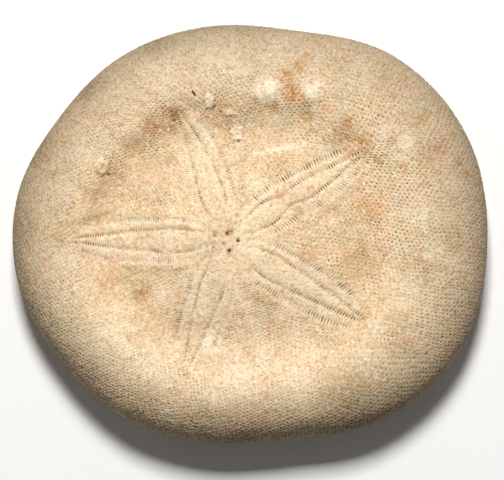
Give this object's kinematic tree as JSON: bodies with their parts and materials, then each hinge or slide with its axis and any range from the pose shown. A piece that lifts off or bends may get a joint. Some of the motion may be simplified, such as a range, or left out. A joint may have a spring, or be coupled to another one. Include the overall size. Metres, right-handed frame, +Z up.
{
  "type": "sand dollar",
  "caption": "Dried sand dollar test: a flat rounded disc with a swollen margin, a sunken upper side with five petals, and a flat underside with a central mouth.",
  "frame": {"origin": "middle of the resting face: the middle of the outline's box, on the surface that it lies on", "axes": "+Z up from the underside to the petalled upper side, +X along the longest extent to the back end, where the vent is"},
  "size_m": [0.0552, 0.0486, 0.0094],
  "materials": {
    "sand_dollar": "matte"
  },
  "bodies": {
    "root": {"sand_dollar": "sand_dollar"}
  },
  "joints": []
}
